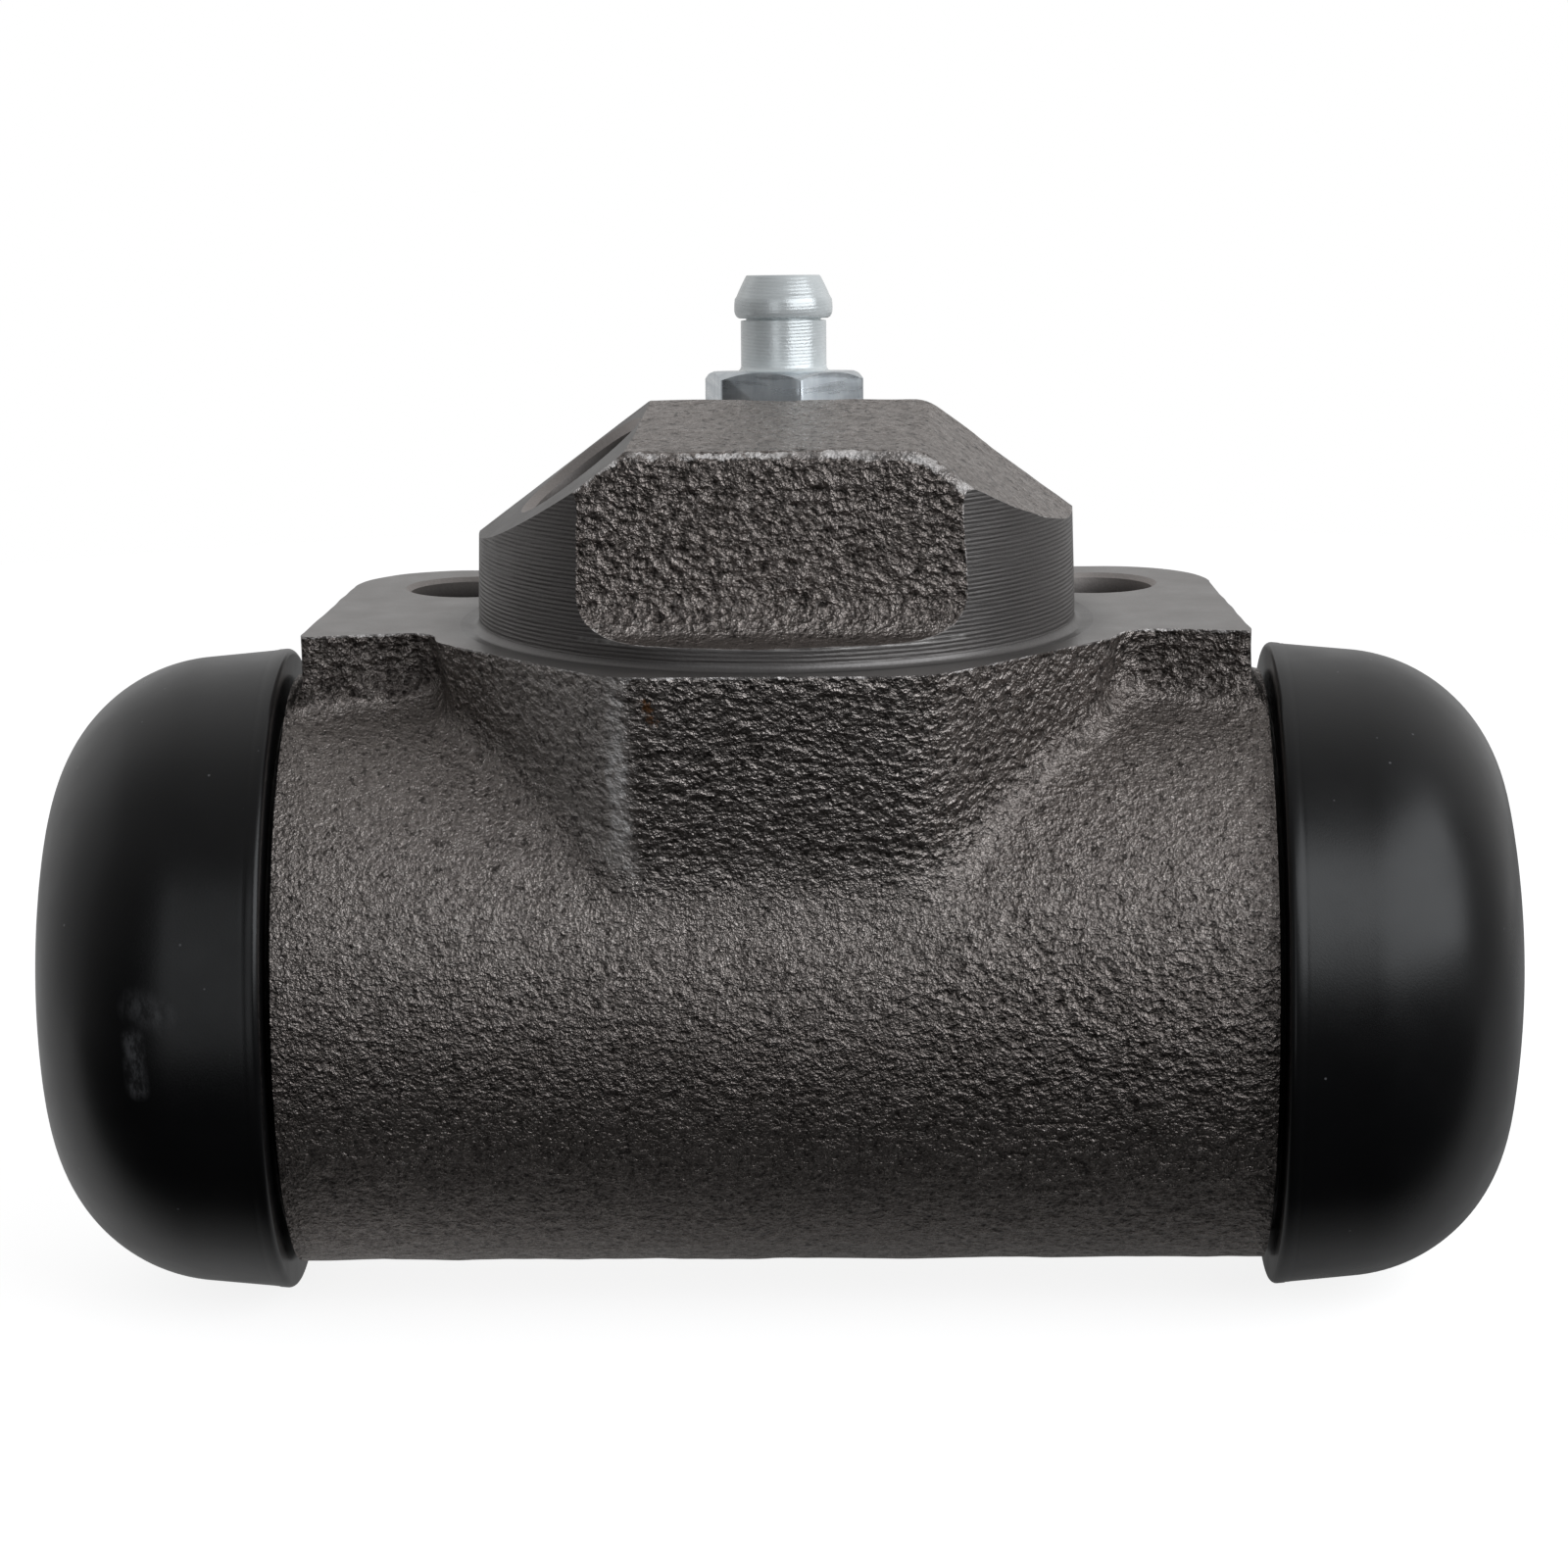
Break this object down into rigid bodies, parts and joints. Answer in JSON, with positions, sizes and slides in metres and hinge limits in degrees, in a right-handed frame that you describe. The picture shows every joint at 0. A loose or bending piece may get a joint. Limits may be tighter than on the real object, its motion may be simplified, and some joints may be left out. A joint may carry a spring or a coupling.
{
  "type": "wheel cylinder",
  "caption": "Drum brake wheel cylinder: bored iron casting with pilot and flange, pistons behind rubber boots, slanted inlet port and bleeder screw.",
  "frame": {"origin": "pilot axis at the flange's mounting face", "axes": "+X along the bore, away from the inlet port; +Y towards the bolt holes and the bleeder screw; +Z out of the mounting face"},
  "size_m": [0.0948, 0.0428, 0.0646],
  "materials": {
    "cast_iron": "rough as-cast skin, machined bright on flange face, pilot and port face",
    "zinc_plate": "bright zinc plate",
    "boot_rubber": "black, semi-matt, moulded",
    "piston_aluminium": "turned",
    "cup_rubber": "matt, moulded",
    "pressed_steel": "pressed sheet",
    "spring_steel": "drawn wire"
  },
  "bodies": {
    "cylinder": {"cylinder_body": "cast_iron", "left_boot": "boot_rubber", "right_boot": "boot_rubber", "return_spring": "spring_steel"},
    "left_piston": {"left_piston": "piston_aluminium", "left_cup": "cup_rubber", "left_cup_expander": "pressed_steel"},
    "right_piston": {"right_piston": "piston_aluminium", "right_cup": "cup_rubber", "right_cup_expander": "pressed_steel"},
    "bleeder": {"bleeder_screw": "zinc_plate"}
  },
  "joints": [
    {"name": "left_piston_slide", "type": "slide", "parent": "cylinder", "child": "left_piston", "axis": [-1, 0, 0], "range_m": [-0.004, 0.008], "deforming": ["return_spring"]},
    {"name": "right_piston_slide", "type": "slide", "parent": "cylinder", "child": "right_piston", "axis": [1, 0, 0], "range_m": [-0.004, 0.008], "deforming": ["return_spring"]},
    {"name": "bleeder_turn", "type": "hinge", "parent": "cylinder", "child": "bleeder", "pos_m": [0.0004, 0.01, 0.0103], "axis": [0, 0.1045, 0.9945], "range_deg": [0, 270]}
  ]
}
